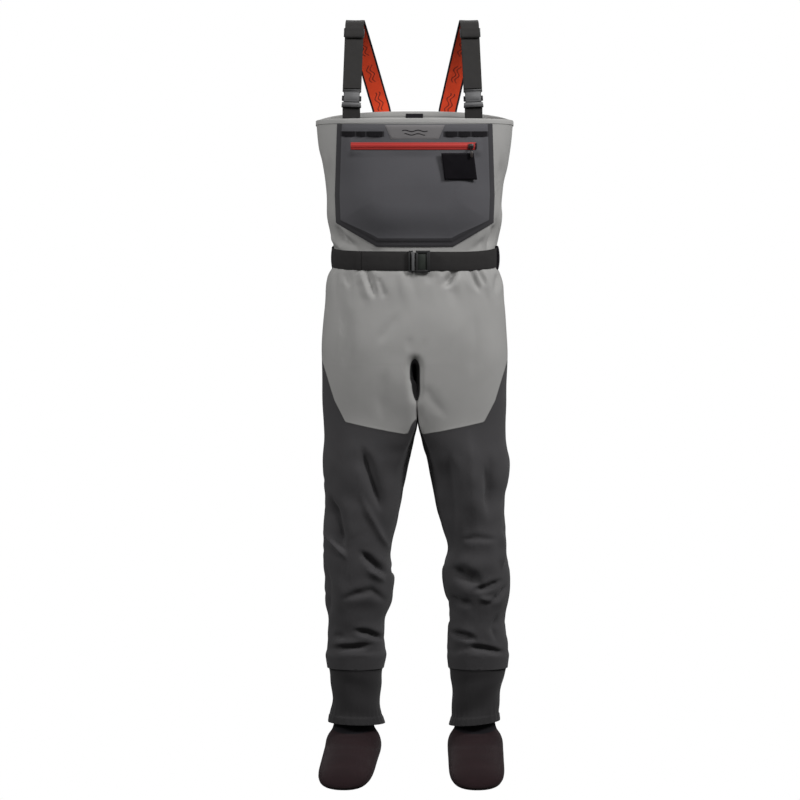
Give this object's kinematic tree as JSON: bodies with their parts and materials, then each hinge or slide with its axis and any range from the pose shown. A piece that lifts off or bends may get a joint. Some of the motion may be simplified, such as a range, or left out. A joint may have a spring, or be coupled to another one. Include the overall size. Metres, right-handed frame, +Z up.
{
  "type": "chest waders",
  "caption": "Stockingfoot chest waders with suspenders, zipped chest pocket, waist belt, jointed legs, gravel guards and neoprene feet.",
  "frame": {"origin": "midway between the tops of the two shoulder straps, where the wearer's shoulders carry them", "axes": "+Z up along the body, -Y out of the chest pocket side, +X to the wearer's left"},
  "size_m": [0.405, 0.2948, 1.5766],
  "materials": {
    "light_fabric": "three-layer woven shell fabric, light warm grey",
    "dark_fabric": "heavier woven leg fabric, charcoal",
    "guard_fabric": "black stretch cuff fabric",
    "pocket_fabric": "dark grey pocket fabric",
    "pocket_tape": "bonded edge tape",
    "black_trim": "black webbing and coated patch",
    "zipper_red": "coated watertight zip tape, orange red",
    "belt_webbing": "black webbing",
    "strap_webbing": "elastic webbing, dark grey outside",
    "strap_lining": "elastic webbing, orange red on the inner face",
    "buckle_plastic": "moulded nylon",
    "neoprene": "laminated neoprene"
  },
  "bodies": {
    "torso": {"back_anchor_patch": "light_fabric", "back_rim_tape": "light_fabric", "belt_buckle_female": "buckle_plastic", "belt_loop_back": "black_trim", "belt_loop_left": "black_trim", "belt_loop_right": "black_trim", "belt_webbing": "belt_webbing", "belt_webbing_front": "belt_webbing", "bib_back_panel": "light_fabric", "bib_front_panel": "light_fabric", "buckle_female_left": "buckle_plastic", "buckle_female_right": "buckle_plastic", "chest_pocket_panel": "pocket_fabric", "daisy_chain_left": "black_trim", "daisy_chain_right": "black_trim", "fly_patch": "black_trim", "front_rim_tape": "light_fabric", "hip_front_panel": "light_fabric", "pocket_edge_tape": "pocket_tape", "seat_panel": "light_fabric", "size_label": "black_trim", "strap_back_left": "strap_lining", "strap_back_right": "strap_lining", "strap_front_left": "strap_webbing", "strap_front_right": "strap_webbing", "strap_return_left": "strap_webbing", "strap_return_right": "strap_webbing", "strap_shoulder_left": "strap_webbing", "strap_shoulder_right": "strap_webbing", "strap_tab_left": "strap_webbing", "strap_tab_right": "strap_webbing", "yoke_patch": "pocket_fabric", "zipper_tape": "zipper_red"},
    "zip_slider": {"zipper_slider": "black_trim"},
    "zip_pull": {"zipper_pull": "black_trim"},
    "buckle_left": {"buckle_male_left": "buckle_plastic"},
    "prong_outer_left": {"buckle_prong_outer_left": "buckle_plastic"},
    "prong_inner_left": {"buckle_prong_inner_left": "buckle_plastic"},
    "adjuster_left": {"adjuster_left": "buckle_plastic"},
    "thigh_left": {"thigh_front_left": "dark_fabric", "thigh_back_left": "dark_fabric"},
    "shin_left": {"shin_left": "dark_fabric", "gravel_guard_left": "guard_fabric", "sock_cuff_left": "neoprene"},
    "foot_left": {"sock_upper_left": "neoprene", "sock_sole_left": "neoprene"},
    "buckle_right": {"buckle_male_right": "buckle_plastic"},
    "prong_outer_right": {"buckle_prong_outer_right": "buckle_plastic"},
    "prong_inner_right": {"buckle_prong_inner_right": "buckle_plastic"},
    "adjuster_right": {"adjuster_right": "buckle_plastic"},
    "thigh_right": {"thigh_front_right": "dark_fabric", "thigh_back_right": "dark_fabric"},
    "shin_right": {"shin_right": "dark_fabric", "gravel_guard_right": "guard_fabric", "sock_cuff_right": "neoprene"},
    "foot_right": {"sock_upper_right": "neoprene", "sock_sole_right": "neoprene"},
    "belt_buckle": {"belt_buckle_male": "buckle_plastic"},
    "belt_prong_upper": {"belt_prong_upper": "buckle_plastic"},
    "belt_prong_lower": {"belt_prong_lower": "buckle_plastic"}
  },
  "joints": [
    {"name": "zip_slide", "type": "hinge", "parent": "torso", "child": "zip_slider", "pos_m": [0, 0.3387, -0.257], "axis": [0, 0, -1], "range_deg": [0, 28]},
    {"name": "zip_pull_swing", "type": "hinge", "parent": "zip_slider", "child": "zip_pull", "pos_m": [0.11839, -0.12679, -0.258], "axis": [-0.9707, -0.2404, 0], "range_deg": [0, 85]},
    {"name": "strap_release_left", "type": "slide", "parent": "torso", "child": "buckle_left", "axis": [0, 0.2079, 0.9781], "range_m": [0, 0.028], "deforming": ["strap_front_left", "strap_return_left"]},
    {"name": "prong_outer_left", "type": "hinge", "parent": "buckle_left", "child": "prong_outer_left", "pos_m": [0.1355, -0.08838, -0.1514], "axis": [0, 0.9781, -0.2079], "range_deg": [0, 6], "stiffness_Nm_per_rad": 0.05},
    {"name": "prong_inner_left", "type": "hinge", "parent": "buckle_left", "child": "prong_inner_left", "pos_m": [0.1065, -0.08838, -0.1514], "axis": [0, -0.9781, 0.2079], "range_deg": [0, 6], "stiffness_Nm_per_rad": 0.05},
    {"name": "strap_adjust_left", "type": "slide", "parent": "torso", "child": "adjuster_left", "axis": [0, -0.2079, -0.9781], "range_m": [0, 0.075]},
    {"name": "strap_release_right", "type": "slide", "parent": "torso", "child": "buckle_right", "axis": [0, 0.2079, 0.9781], "range_m": [0, 0.028], "deforming": ["strap_front_right", "strap_return_right"]},
    {"name": "prong_outer_right", "type": "hinge", "parent": "buckle_right", "child": "prong_outer_right", "pos_m": [-0.1355, -0.08838, -0.1514], "axis": [0, -0.9781, 0.2079], "range_deg": [0, 6], "stiffness_Nm_per_rad": 0.05},
    {"name": "prong_inner_right", "type": "hinge", "parent": "buckle_right", "child": "prong_inner_right", "pos_m": [-0.1065, -0.08838, -0.1514], "axis": [0, 0.9781, -0.2079], "range_deg": [0, 6], "stiffness_Nm_per_rad": 0.05},
    {"name": "strap_adjust_right", "type": "slide", "parent": "torso", "child": "adjuster_right", "axis": [0, -0.2079, -0.9781], "range_m": [0, 0.075]},
    {"name": "belt_release", "type": "slide", "parent": "torso", "child": "belt_buckle", "axis": [-1, 0, 0], "range_m": [0, 0.028], "deforming": ["belt_webbing_front"]},
    {"name": "belt_prong_upper", "type": "hinge", "parent": "belt_buckle", "child": "belt_prong_upper", "pos_m": [-0.002, -0.1147, -0.475], "axis": [0, 1, 0], "range_deg": [0, 5], "stiffness_Nm_per_rad": 0.08},
    {"name": "belt_prong_lower", "type": "hinge", "parent": "belt_buckle", "child": "belt_prong_lower", "pos_m": [-0.002, -0.1147, -0.507], "axis": [0, -1, 0], "range_deg": [0, 5], "stiffness_Nm_per_rad": 0.08},
    {"name": "hip_left", "type": "hinge", "parent": "torso", "child": "thigh_left", "pos_m": [0.097, 0, -0.762], "axis": [-1, 0, 0], "range_deg": [-10, 40]},
    {"name": "knee_left", "type": "hinge", "parent": "thigh_left", "child": "shin_left", "pos_m": [0.121, -0.005, -1.122], "axis": [1, 0, 0], "range_deg": [0, 55]},
    {"name": "ankle_left", "type": "hinge", "parent": "shin_left", "child": "foot_left", "pos_m": [0.125, 0.011, -1.478], "axis": [-1, 0, 0], "range_deg": [-15, 20], "stiffness_Nm_per_rad": 3},
    {"name": "hip_right", "type": "hinge", "parent": "torso", "child": "thigh_right", "pos_m": [-0.097, 0, -0.762], "axis": [-1, 0, 0], "range_deg": [-10, 40]},
    {"name": "knee_right", "type": "hinge", "parent": "thigh_right", "child": "shin_right", "pos_m": [-0.121, -0.005, -1.122], "axis": [1, 0, 0], "range_deg": [0, 55]},
    {"name": "ankle_right", "type": "hinge", "parent": "shin_right", "child": "foot_right", "pos_m": [-0.125, 0.011, -1.478], "axis": [-1, 0, 0], "range_deg": [-15, 20], "stiffness_Nm_per_rad": 3}
  ],
  "couplings": [
    {"joint": "prong_inner_left", "follows": "prong_outer_left", "ratio": 1},
    {"joint": "prong_inner_right", "follows": "prong_outer_right", "ratio": 1},
    {"joint": "belt_prong_lower", "follows": "belt_prong_upper", "ratio": 1}
  ]
}
